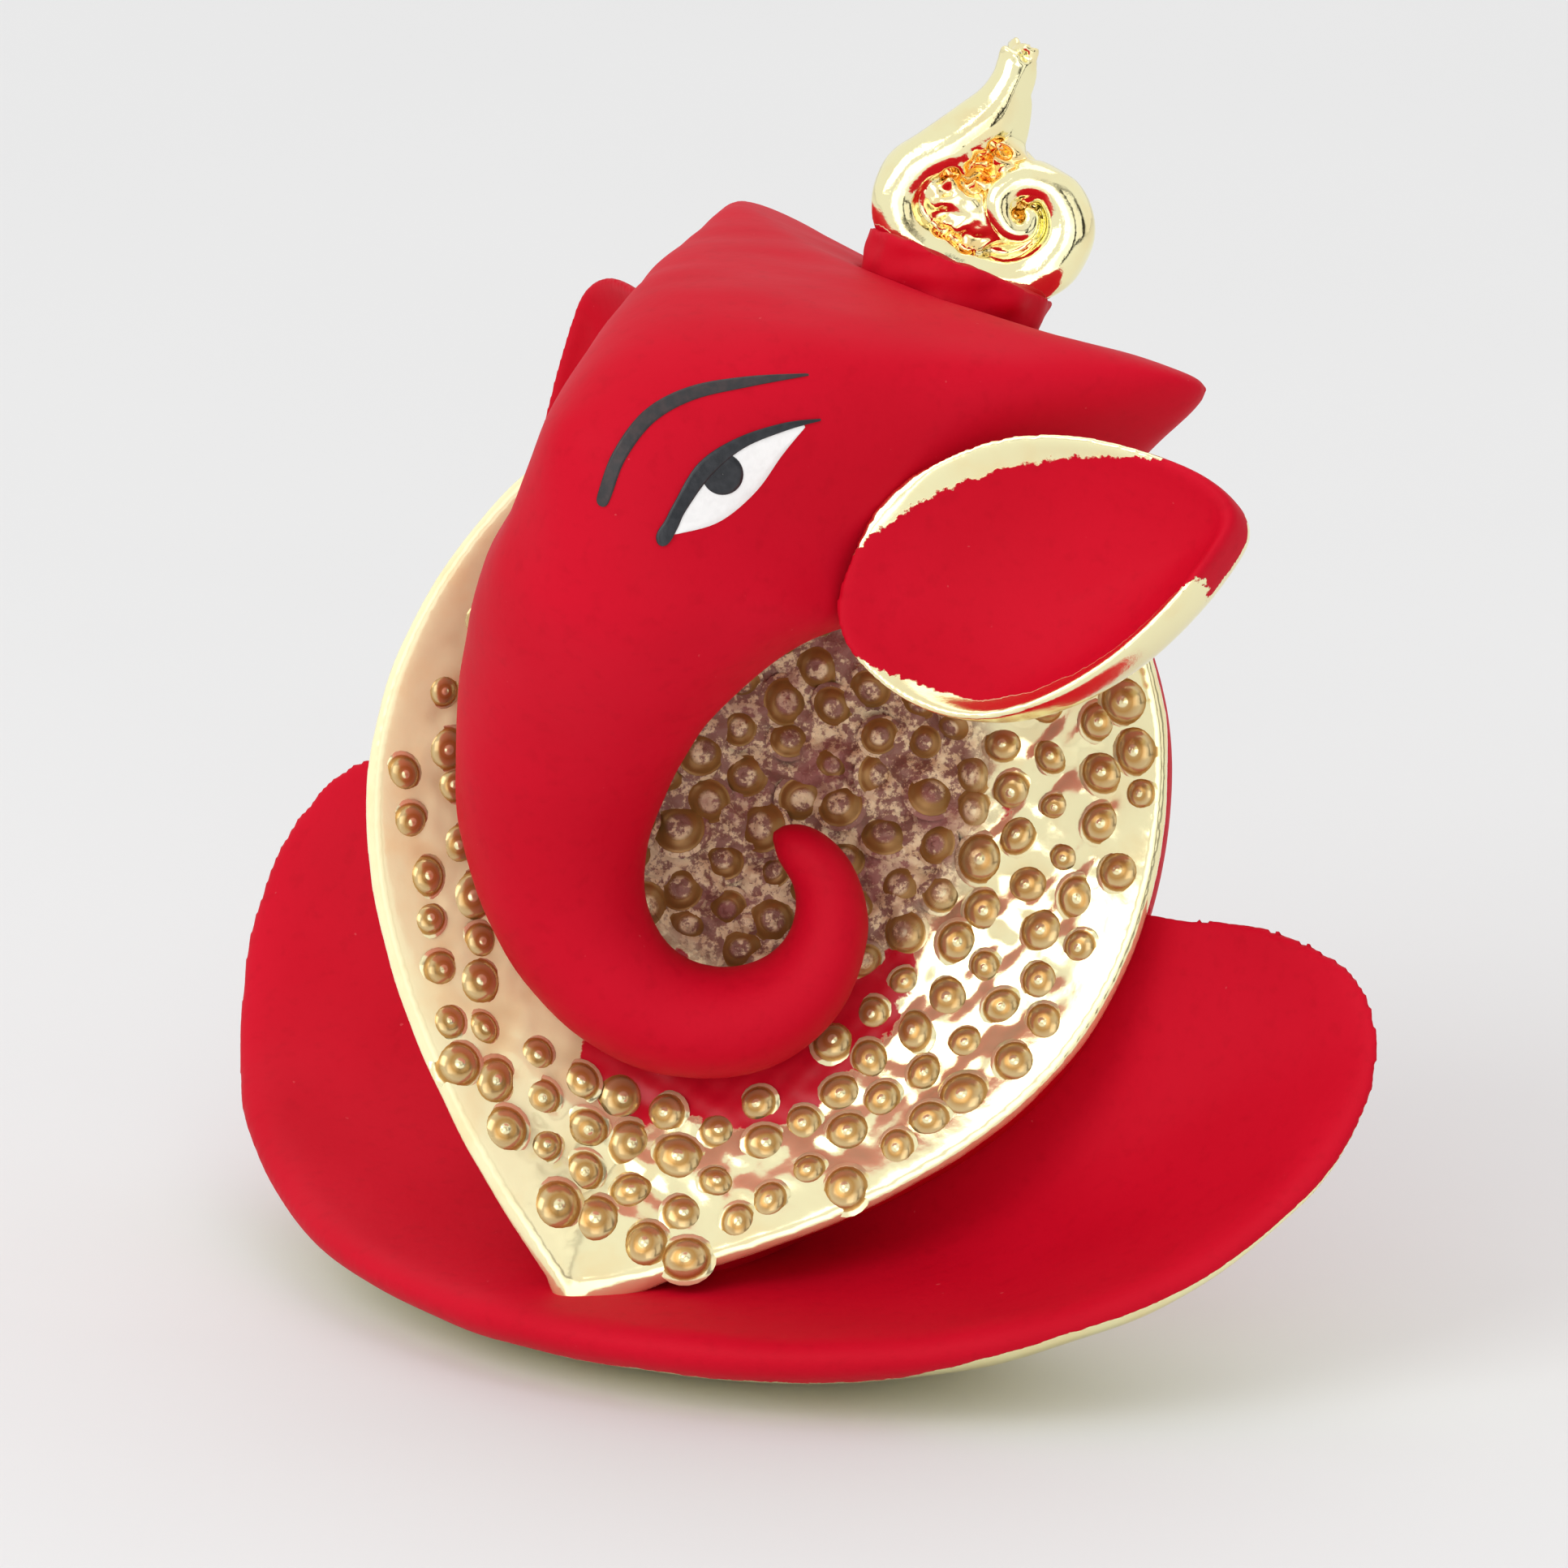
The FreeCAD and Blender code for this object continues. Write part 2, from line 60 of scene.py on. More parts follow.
# A plate mask far enough under zero that no gold shows through the ragged edge
ALL_RED = -5.0
GOLD_PALE = (0.98, 0.92, 0.55, 1)
GOLD_WARM = (0.97, 0.76, 0.38, 1)
# Painted shade and amber reflection on the polished gold, in the leaf's dents and round the pearls
GOLD_AMBER_SHADE = (0.50, 0.27, 0.07, 1)
# Painted reflection: the amber that gold shows deep in a recess, where it reflects itself
GOLD_RECESS_REFLECTION = (1.0, 0.66, 0.24, 1)
GOLD_DULL = (0.33, 0.16, 0.12, 1)
GOLD_BRUSHED = (0.90, 0.70, 0.44, 1)
# Painted shade on the pearls' domes in the antique hollow
GOLD_OLIVE_SHADE = (0.34, 0.17, 0.045, 1)
BRONZE_RED = (0.34, 0.11, 0.10, 1)


# ------------------------------------------------------------ mesh helpers

def new_piece(name, verts, faces):
    """A smooth-shaded mesh object made of vertices and faces."""
    mesh = bpy.data.meshes.new(name)
    mesh.from_pydata(verts, [], faces)
    for polygon in mesh.polygons:
        polygon.use_smooth = True
    piece = bpy.data.objects.new(name, mesh)
    bpy.context.collection.objects.link(piece)
    return piece


def apply_modifiers(piece):
    """Makes the piece's modifiers part of its mesh."""
    graph = bpy.context.evaluated_depsgraph_get()
    mesh = bpy.data.meshes.new_from_object(piece.evaluated_get(graph))
    piece.modifiers.clear()
    piece.data = mesh


def soften(piece, rounds, voxel=None):
    """Rounds off a piece's edges, after an even remesh if a voxel size is given in millimetres."""
    if voxel:
        remesh = piece.modifiers.new("fine", "REMESH")
        remesh.mode = "VOXEL"
        remesh.voxel_size = voxel * MM
    ease = piece.modifiers.new("ease", "SMOOTH")
    ease.factor = 0.5
    ease.iterations = rounds
    apply_modifiers(piece)
    for polygon in piece.data.polygons:
        polygon.use_smooth = True


def cast_piece(name, node, voxel, rounds):
    """A fine, softened copy of a CAD node, as a casting has no crisp edges."""
    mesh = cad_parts[node].data
    piece = new_piece(name, [v.co.copy() for v in mesh.vertices], [list(p.vertices) for p in mesh.polygons])
    soften(piece, rounds, voxel)
    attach(piece, "root")
    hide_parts(node)
    return piece


def points_of(piece):
    """The piece's vertex positions as an array, in metres."""
    flat = np.empty(len(piece.data.vertices) * 3)
    piece.data.vertices.foreach_get("co", flat)
    return flat.reshape(-1, 3)


def normals_of(piece):
    """The piece's vertex normals as an array."""
    flat = np.empty(len(piece.data.vertices) * 3)
    piece.data.vertices.foreach_get("normal", flat)
    return flat.reshape(-1, 3)


def move_points(piece, points):
    """Writes new vertex positions."""
    piece.data.vertices.foreach_set("co", points.ravel())
    piece.data.update()


def swell(piece, height):
    """Moves every point out along its normal by its own number of millimetres."""
    move_points(piece, points_of(piece) + normals_of(piece) * (height * MM)[:, None])


def set_mask(piece, name, values):
    """Stores a number for each vertex, or one number for all, for the material to read."""
    layer = piece.data.attributes.new(name, "FLOAT", "POINT")
    count = len(piece.data.vertices)
    layer.data.foreach_set("value", np.broadcast_to(values, count).astype(np.float32))


def in_figure(points):
    """World positions as millimetres in the figure's frame: side, out, up."""
    turn = np.array(FIGURE.inverted())
    local = points @ turn[:3, :3].T + turn[:3, 3]
    return local[:, 0] / MM, -local[:, 1] / MM, local[:, 2] / MM


def smooth(low, high, value):
    """0 at low, 1 at high, eased between."""
    share = np.clip((value - low) / (high - low), 0, 1)
    return share * share * (3 - 2 * share)


def tree_of(piece):
    """A search tree over the piece's surface."""
    mesh = piece.data
    return BVHTree.FromPolygons([v.co for v in mesh.vertices], [p.vertices for p in mesh.polygons])


def distance_to(points, tree, reach=12):
    """Millimetres from each point to a surface, at most reach."""
    found = (tree.find_nearest(Vector(p), reach * MM)[3] for p in points)
    return np.array([reach if d is None else d / MM for d in found])


def tuck_into(piece, tree, reach=0.9, depth=0.7):
    """Sinks the edge where the piece meets its neighbour a little way into the neighbour."""
    points = points_of(piece)
    for i, p in enumerate(points):
        spot, normal, face, gap = tree.find_nearest(Vector(p), reach * MM)
        if spot is not None:
            points[i] = p - np.array(normal) * depth * MM * (1 - gap / (reach * MM))
    move_points(piece, points)


def waves(points, scale, seed):
    """Smooth noise of about 1 high, made of a few random plane waves of one length in millimetres."""
    dice = np.random.default_rng(seed)
    total = np.zeros(len(points))
    count = 14
    for _ in range(count):
        way = dice.normal(size=3)
        way /= np.linalg.norm(way)
        length = scale * MM * dice.uniform(0.7, 1.5)
        total += np.sin(points @ way * 2 * math.pi / length + dice.uniform(0, 2 * math.pi))
    return total / math.sqrt(count / 2)


def curve_through(stations, steps):
    """Many stations along a smooth curve through a few."""
    fine = []
    last = len(stations) - 1
    for i in range(last):
        a, b, c, d = (np.array(stations[min(max(k, 0), last)]) for k in (i - 1, i, i + 1, i + 2))
        for step in range(steps):
            u = step / steps
            fine.append(0.5 * (2 * b + (c - a) * u + (2 * a - 5 * b + 4 * c - d) * u * u
                               + (3 * b - a - 3 * c + d) * u ** 3))
    fine.append(np.array(stations[-1]))
    return fine


# ------------------------------------------------------------ materials

class Shader:
    """A short way to write a node material."""

    def __init__(self, name):
        self.material = bpy.data.materials.new(name)
        self.material.use_nodes = True
        self.nodes = self.material.node_tree.nodes
        self.links = self.material.node_tree.links
        self.surface = self.nodes["Principled BSDF"]
        self.place = self.nodes.new("ShaderNodeTexCoord").outputs["Object"]

    def wire(self, value, socket):
        """Links a socket, or sets a plain value."""
        if isinstance(value, bpy.types.NodeSocket):
            self.links.new(value, socket)
        else:
            socket.default_value = value

    def mask(self, name):
        """A mask stored on the mesh."""
        node = self.nodes.new("ShaderNodeAttribute")
        node.attribute_name = name
        return node.outputs["Fac"]

    def noise(self, size_mm, detail=3, rough=0.5):
        """Noise with features of about the given size."""
        node = self.nodes.new("ShaderNodeTexNoise")
        node.inputs["Scale"].default_value = 1 / (size_mm * MM)
        node.inputs["Detail"].default_value = detail
        node.inputs["Roughness"].default_value = rough
        self.links.new(self.place, node.inputs["Vector"])
        return node.outputs["Fac"]

    def maths(self, kind, a, b=0.0, c=0.0):
        """One arithmetic node."""
        node = self.nodes.new("ShaderNodeMath")
        node.operation = kind
        for value, socket in zip((a, b, c), node.inputs):
            self.wire(value, socket)
        return node.outputs[0]

    def ramp(self, value, low, high, bottom=0.0, top=1.0):
        """value taken from the range low..high to bottom..top, eased."""
        node = self.nodes.new("ShaderNodeMapRange")
        node.interpolation_type = "SMOOTHSTEP"
        for number, socket in zip((low, high, bottom, top), list(node.inputs)[1:5]):
            socket.default_value = number
        self.wire(value, node.inputs[0])
        return node.outputs[0]

    def blend(self, share, first, second):
        """A colour between two others."""
        node = self.nodes.new("ShaderNodeMix")
        node.data_type = "RGBA"
        self.wire(share, node.inputs[0])
        self.wire(first, node.inputs[6])
        self.wire(second, node.inputs[7])
        return node.outputs[2]

    def bump(self, height, depth_mm, below=None):
        """A bump of a real depth, on top of another."""
        node = self.nodes.new("ShaderNodeBump")
        node.inputs["Distance"].default_value = depth_mm * MM
        self.wire(height, node.inputs["Height"])
        if below:
            self.wire(below, node.inputs["Normal"])
        return node.outputs[0]

    def finish(self, colour, metal, rough, normal):
        """Connects the surface."""
        for value, name in ((colour, "Base Color"), (metal, "Metallic"),
                            (rough, "Roughness"), (normal, "Normal")):
            self.wire(value, self.surface.inputs[name])
        return self.material


def red_colour(shader):
    """Hand-sprayed red: slow cloudiness, faint darker mottling and a few pale specks."""
    cloud = shader.ramp(shader.noise(16, 2), 0.35, 0.7)
    colour = shader.blend(cloud, RED_LIT, RED_CLOUD)
    mottle = shader.ramp(shader.noise(0.9, 4), 0.5, 0.75, 0.0, 0.22)
    colour = shader.blend(mottle, colour, RED_DEEP)
    speck = shader.ramp(shader.noise(0.5, 1), 0.80, 0.83, 0.0, 0.6)
    return shader.blend(speck, colour, RED_SPECK)


def gold_colour(shader):
    """Plated gold, pale with warmer patches."""
    warm = shader.ramp(shader.noise(3.0, 3), 0.45, 0.75, 0.0, 0.55)
    return shader.blend(warm, GOLD_PALE, GOLD_WARM)


def paint_and_plate(name, ragged, plate_rough):
    """Red paint where the plate mask is under zero and gold plating where it is over, ragged between, with a
    painted amber reflection on the plate in recesses.
    """
    shader = Shader(name)
    wobble = shader.maths("SUBTRACT", shader.noise(0.9, 5, 0.65), 0.5)
    edge = shader.maths("MULTIPLY_ADD", wobble, 2 * ragged, shader.mask("plate"))
    gold = shader.ramp(edge, -0.04, 0.04)
    # Painted amber reflection on the plate where the recess mask is high
    plated = shader.blend(shader.mask("recess_reflection"), gold_colour(shader), GOLD_RECESS_REFLECTION)
    colour = shader.blend(gold, red_colour(shader), plated)
    rough = shader.ramp(gold, 0, 1, 0.55, plate_rough)
    grain = shader.bump(shader.noise(0.35, 4, 0.6), 0.012)
    lumps = shader.bump(shader.noise(2.4, 2), 0.05, grain)
    coat = shader.bump(gold, -0.03, lumps)
    shader.surface.inputs["Specular IOR Level"].default_value = 0.09
    return shader.finish(colour, gold, rough, coat)


def beaded_plate(name):
    """The beaded leaf: polished plate with painted shade and amber reflection in its dents and on its
    pearls, antique gold in the hollow, and red wash round the trunk.
    """
    shader = Shader(name)
    low = shader.mask("low")
    dull = shader.mask("dull")
    grit = shader.noise(0.5, 6, 0.7)
    patch = shader.maths("SUBTRACT", shader.noise(1.6, 4, 0.6), 0.5)
    reach = shader.maths("MULTIPLY", shader.maths("MULTIPLY_ADD", low, 0.5, 0.75), shader.mask("wash"))
    red = shader.ramp(shader.maths("MULTIPLY_ADD", patch, 0.9, reach), 0.46, 0.54)
    ridges = shader.maths("MULTIPLY_ADD", patch, 0.7, grit)
    brushed = shader.blend(shader.ramp(ridges, 0.46, 0.58), GOLD_DULL, GOLD_BRUSHED)
    brushed = shader.blend(shader.ramp(shader.noise(3.0, 3), 0.5, 0.65, 0.0, 0.6), brushed, BRONZE_RED)
    tone = shader.mask("tone")
    # Painted shade: the dark, low sides of the pearls in the hollow turn olive
    dome_shade = shader.maths("MULTIPLY", shader.ramp(tone, 0.35, 0.45), shader.ramp(low, 0.12, 0.3))
    brushed = shader.blend(dome_shade, brushed, GOLD_OLIVE_SHADE)
    # The tone mask paints shade and amber reflection onto the polished gold
    polished = shader.blend(tone, gold_colour(shader), GOLD_AMBER_SHADE)
    colour = shader.blend(red, shader.blend(dull, polished, brushed), red_colour(shader))
    # Painted reflection: the pale mask takes metal off, so the left flank shows pale as if mirroring the
    # bright room
    plain = shader.maths("SUBTRACT", shader.ramp(dull, 0, 1, 1.0, 0.75), shader.mask("pale"))
    metal = shader.maths("MAXIMUM", shader.maths("SUBTRACT", plain, red), 0.0)
    plate_rough = shader.ramp(dull, 0, 1, 0.10, 0.36)
    rough = shader.maths("MAXIMUM", plate_rough, shader.maths("MULTIPLY", red, 0.35))
    rough = shader.maths("MAXIMUM", rough, shader.maths("MULTIPLY", tone, 0.26))
    bare = shader.maths("SUBTRACT", 1.0, dome_shade)
    rubbed = shader.maths("MULTIPLY", shader.ramp(dull, 0, 1, 0.05, 1.0), bare)
    scrape = shader.bump(shader.maths("MULTIPLY", grit, rubbed), 0.12)
    hammer = shader.bump(shader.noise(1.6, 2), 0.03, scrape)
    return shader.finish(colour, metal, rough, hammer)


def eye_paint(name, colour, rough, streak):
    """Brushed-on enamel with faint strokes."""
    shader = Shader(name)
    tone = shader.blend(shader.ramp(shader.noise(0.5, 4), 0.35, 0.7, 0.0, 0.7), colour, streak)
    body = shader.bump(shader.noise(0.3, 3), 0.02)
    return shader.finish(tone, 0.0, rough, body)


# ------------------------------------------------------------ camera, light and floor

def look_at(piece, target):
    """Points a camera or lamp at a place, in metres."""
    piece.rotation_euler = (Vector(target) - piece.location).to_track_quat("-Z", "Y").to_euler()


def make_camera():
    """The camera stands in front, a little above, far enough off for little perspective."""
    camera = bpy.data.objects.new("camera", bpy.data.cameras.new("camera"))
    aim = Vector((3.4, 0, 31.3)) * MM
    away = 4.0
    camera.location = aim + away * Vector((0, -math.cos(LEAN_BACK), math.sin(LEAN_BACK)))
    look_at(camera, aim)
    frame_width = 87.8 * MM
    camera.data.lens = camera.data.sensor_width * away / frame_width
    camera.data.clip_start = 0.05
    bpy.context.collection.objects.link(camera)
    bpy.context.scene.camera = camera


def make_lamp(name, place, size, power, colour=(1, 1, 1)):
    """A soft box aimed at the figure."""
    lamp = bpy.data.lights.new(name, "AREA")
    lamp.shape = "RECTANGLE"
    lamp.size, lamp.size_y = size
    lamp.energy = power
    lamp.color = colour
    holder = bpy.data.objects.new(name, lamp)
    holder.location = place
    look_at(holder, (0, 0, 0.03))
    bpy.context.collection.objects.link(holder)


def make_studio():
    """A pale floor, four soft boxes, and a white room with one dark corner for the metal to reflect."""
    bpy.ops.mesh.primitive_plane_add(size=6, location=(0, 0, 0))
    floor = bpy.context.object
    floor.name = "floor"
    shader = Shader("floor_card")
    shade = shader.blend(shader.noise(30, 2), (0.775, 0.775, 0.775, 1), (0.79, 0.79, 0.79, 1))
    floor.data.materials.append(shader.finish(shade, 0.0, 0.9, shader.bump(shader.noise(1, 2), 0.01)))
    make_lamp("key", (-0.45, -0.45, 0.55), (0.5, 0.5), 1.6)
    make_lamp("fill", (0.6, -0.5, 0.35), (0.4, 0.5), 0.6)
    make_lamp("top", (0.05, 0.25, 0.7), (0.6, 0.4), 0.6)
    make_lamp("front", (0.1, -0.8, 0.24), (0.6, 0.5), 1.1)
    world = bpy.data.worlds.new("room")
    bpy.context.scene.world = world
    world.use_nodes = True
    nodes = world.node_tree.nodes
    links = world.node_tree.links
    place = nodes.new("ShaderNodeTexCoord")
    facing = nodes.new("ShaderNodeVectorMath")
    facing.operation = "DOT_PRODUCT"
    facing.inputs[1].default_value = Vector((0.72, -0.68, 0.12)).normalized()
    links.new(place.outputs["Generated"], facing.inputs[0])
    ramp = nodes.new("ShaderNodeMapRange")
    ramp.interpolation_type = "SMOOTHSTEP"
    for number, socket in zip((0.74, 0.88, 0.95, 0.03), list(ramp.inputs)[1:5]):
        socket.default_value = number
    links.new(facing.outputs["Value"], ramp.inputs[0])
    links.new(ramp.outputs[0], nodes["Background"].inputs["Color"])
    nodes["Background"].inputs["Strength"].default_value = 0.92


# ------------------------------------------------------------ the figure

def dress(piece, material):
    """Gives a piece its material."""
    piece.data.materials.clear()
    piece.data.materials.append(material)


def make_head():
    """The head and trunk, all red."""
    head = cast_piece("head_trunk_casting", "head_with_trunk", 0.3, 14)
    swell(head, 0.03 * waves(points_of(head), 5, 3))
    set_mask(head, "plate", ALL_RED)
    return head


def make_collar():
    """The red collar under the knot, a little uneven."""
    collar = cast_piece("collar_casting", "topknot_collar", 0.2, 8)
    swell(collar, 0.10 * waves(points_of(collar), 2.5, 5))
    set_mask(collar, "plate", ALL_RED)
    return collar


# The knot's strands as (side, out, up, radius) in the figure's frame, in millimetres
ROPE = [(-2.7, 1.0, 74.4, 0.95), (-2.5, 1.0, 73.4, 1.1), (-2.4, 1.0, 72.2, 1.25), (-2.8, 1.0, 70.2, 1.5),
        (-4.2, 1.0, 68.0, 1.6), (-5.7, 1.0, 66.0, 1.5), (-6.0, 1.0, 64.0, 1.45), (-4.9, 1.0, 62.5, 1.4),
        (-2.6, 1.0, 61.9, 1.3), (-0.4, 1.0, 61.8, 1.3), (1.6, 1.0, 62.1, 1.45), (3.1, 1.0, 63.3, 1.6),
        (3.7, 1.0, 65.1, 1.6), (3.1, 1.1, 66.8, 1.45), (1.7, 1.3, 67.7, 1.25), (0.2, 1.6, 67.4, 1.1),
        (-0.6, 1.8, 66.4, 0.95), (-0.4, 1.9, 65.3, 0.8), (0.5, 2.0, 64.6, 0.65), (1.4, 2.0, 64.9, 0.5),
        (1.4, 1.9, 65.8, 0.42), (0.8, 1.8, 66.0, 0.35)]
STRAND = [(-1.6, 0.8, 71.9, 0.5), (-1.3, 0.9, 71.0, 0.7), (-0.9, 1.0, 69.7, 0.8), (-0.8, 1.2, 68.3, 0.7),
          (-1.4, 1.4, 66.6, 0.6), (-1.9, 1.2, 65.2, 0.6), (-1.5, 1.0, 63.8, 0.6)]
RECESS = [(-5.2, 0.1, 65.4, 1.5), (-3.2, 0.0, 64.9, 2.2), (-1.0, 0.0, 64.6, 2.3), (0.8, 0.0, 65.0, 2.0),
          (2.0, 0.0, 65.4, 1.4)]
CROWN = [(-3.8, -0.2, 66.4, 1.2), (-2.2, -0.2, 67.2, 1.9), (-0.5, -0.2, 67.3, 1.9), (1.2, -0.2, 66.7, 1.3)]


def swept_tube(stations, verts, faces):
    """Adds a closed round tube through stations, each ring square to the route."""
    around = 20
    line = curve_through(stations, 8)
    start = len(verts)
    places = [Vector((side, -out, up)) for side, out, up, radius in line]
    for i, place in enumerate(places):
        heading = (places[min(i + 1, len(places) - 1)] - places[max(i - 1, 0)]).normalized()
        across = heading.cross(Vector((0, 1, 0))).normalized()
        level = heading.cross(across)
        radius = line[i][3]
        for k in range(around):
            angle = 2 * math.pi * k / around
            spoke = across * math.cos(angle) + level * math.sin(angle)
            verts.append(FIGURE @ ((place + spoke * radius) * MM))
    for i in range(len(places) - 1):
        for k in range(around):
            a = start + i * around + k
            b = start + i * around + (k + 1) % around
            faces.append((a, b, b + around, a + around))
    last = start + (len(places) - 1) * around
    faces.append(tuple(start + k for k in reversed(range(around))))
    faces.append(tuple(last + k for k in range(around)))


def make_knot():
    """The gold knot: one rope that winds to a tucked end, a second strand, and a crumpled middle."""
    verts, faces = [], []
    for strand in (ROPE, STRAND, RECESS, CROWN):
        swept_tube(strand, verts, faces)
    knot = new_piece("topknot_casting", verts, faces)
    soften(knot, 5, 0.11)
    points = points_of(knot)
    side, out, up = in_figure(points)
    middle = 1 - smooth(2.0, 3.2, np.hypot(side + 1.6, (up - 65.9) * 0.8))
    sunk = middle * (1 - smooth(1.6, 2.4, out))
    tip = smooth(73.3, 74.3, up)
    crumple = waves(points, 1.0, 8) * 0.30 * sunk
    torn = waves(points, 0.9, 10) * 0.16 * tip
    swell(knot, crumple + waves(points, 3.2, 9) * 0.05 + torn)
    flatten_facet(knot)
    side, out, up = in_figure(points_of(knot))
    paint_line = 61.2 + 0.75 * smooth(2.6, 4.2, side) + 0.9 * (1 - smooth(-6.5, -3, side))
    set_mask(knot, "plate", up - paint_line)
    # The sunk middle of the knot gets a painted amber reflection
    set_mask(knot, "recess_reflection", sunk)
    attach(knot, "root")
    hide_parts("topknot")
    return knot


def flatten_facet(knot):
    """Planes the spout's right side flat, as if pressed."""
    points = points_of(knot)
    side, out, up = in_figure(points)
    way = FIGURE.to_3x3() @ Vector((0.78, -0.62, 0.05)).normalized()
    reach = (side + 2.2) * 0.78 + (out - 1.0) * 0.62 + (up - 71) * 0.05
    spare = np.maximum(reach - 0.85, 0) * smooth(68.6, 69.6, up)
    move_points(knot, points - np.array(way)[None, :] * (spare * 0.85 * MM)[:, None])


# The near ear's outline as (across, up, width of the bare gold rim) in the head's frame, in millimetres
EAR_RIM = [(9.9, 41.3, -0.6), (9.7, 45.9, 0.8), (11.1, 50.0, 1.4), (14.1, 53.5, 1.6), (17.7, 55.4, 1.4),
           (21.6, 56.1, 0.7), (25.5, 56.1, -0.6), (27.7, 54.8, -0.9), (27.4, 52.4, -0.5), (26.5, 48.9, 0.7),
           (24.7, 44.5, 1.3), (22.0, 40.6, 1.6), (18.8, 38.0, 1.7), (14.9, 37.7, 1.5), (11.3, 39.2, 0.2)]


def rim_share(across, up):
    """How far inside the gold rim each point of the near ear is: over zero is bare gold."""
    line = np.array(curve_through(EAR_RIM + EAR_RIM[:1], 8))
    gap = np.hypot(across[:, None] - line[None, :, 0], up[:, None] - line[None, :, 1])
    nearest = gap.argmin(axis=1)
    return line[nearest, 2] - gap[np.arange(len(gap)), nearest]


def make_ear(name, node, head_tree, seen):
    """A cupped ear: red inside with a bare gold rim on the side that is seen, gold on its back."""
    ear = cast_piece(name, node, 0.18, 7)
    points = points_of(ear)
    turn = np.array((FIGURE @ Matrix.Rotation(-HEAD_TURN, 4, "Z")).inverted())
    local = (points @ turn[:3, :3].T + turn[:3, 3]) / MM
    front = -(normals_of(ear) @ turn[:3, :3].T)[:, 1]
    inside = rim_share(local[:, 0], local[:, 2]) if seen else np.full(len(points), -4.0)
    set_mask(ear, "plate", np.where(front > -0.35, inside, 1.0))
    tuck_into(ear, head_tree)
    return ear


def hug(piece, tree):
    """Moves every point onto another surface."""
    move_points(piece, np.array([tree.find_nearest(Vector(p))[0] for p in points_of(piece)]))


def make_dish():
    """The dish of folded legs: red above and over the lip, bare gold low on its sides and underneath."""
    dish = cast_piece("dish_casting", "base_dish", 0.29, 2)
    hug(dish, tree_of(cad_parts["base_dish"]))
    soften(dish, 6)
    points = points_of(dish)
    above_foot = smooth(0.3, 1.5, points[:, 2] / MM)
    swell(dish, 0.05 * waves(points, 7, 12) * above_foot)
    x = points[:, 0] / MM
    painted = 0.90 - 0.08 * np.maximum(x - 10, 0) - 0.02 * np.maximum(-x - 20, 0)
    set_mask(dish, "plate", (-normals_of(dish)[:, 2] - np.maximum(painted, 0.22)) * 4)
    return dish


def make_torso(head_tree, dish_tree):
    """The red back of the body."""
    torso = cast_piece("torso_casting", "torso_back", 0.35, 10)
    set_mask(torso, "plate", ALL_RED)
    tuck_into(torso, dish_tree)
    tuck_into(torso, head_tree)
    return torso


def islands_of(mesh, points):
    """The mesh's separate solids, each as a list of vertex numbers; vertices at one place count as one."""
    parent = list(range(len(points)))
    same_place = 0.004 * MM

    def root(i):
        while parent[i] != i:
            parent[i] = parent[parent[i]]
            i = parent[i]
        return i

    near = {}
    for i, p in enumerate(points):
        key = tuple(np.round(p / same_place).astype(int))
        parent[root(i)] = root(near.setdefault(key, i))
    for edge in mesh.edges:
        parent[root(edge.vertices[0])] = root(edge.vertices[1])
    islands = {}
    for i in range(len(points)):
        islands.setdefault(root(i), []).append(i)
    return islands.values()


def pearl_spots(node):
    """Where a CAD node's pearls are: centre and radius."""
    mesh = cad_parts[node].data
    points = np.array([v.co for v in mesh.vertices])
    spots = []
    for members in islands_of(mesh, points):
        cloud = points[members]
        middle = (cloud.min(axis=0) + cloud.max(axis=0)) / 2
        spots.append((Vector(middle), np.linalg.norm(cloud - middle, axis=1).max()))
    return spots


def leaf_masks(points, head_tree):
    """How dull each point of the leaf is, inside the trunk's hook, and how washed with red, round it."""
    side, out, up = in_figure(points)
    near = distance_to(points, head_tree)
    hook = (1 - smooth(8.5, 11.5, np.hypot(side - 1.5, (up - 31.5) * 0.86))) * smooth(14, 17, up)
    band_middle = 8.2 + 0.32 * (up - 22)
    band = np.exp(-((side - band_middle) / 1.9) ** 2) * smooth(17, 21, up) * (1 - smooth(34, 39, up))
    skirt = (1 - smooth(1.5, 5.0, near)) * (1 - smooth(24, 32, up)) * smooth(-7, -2, side)
    return hook, np.clip((0.80 * skirt + 0.50 * band) * (1 - hook), 0, 1)


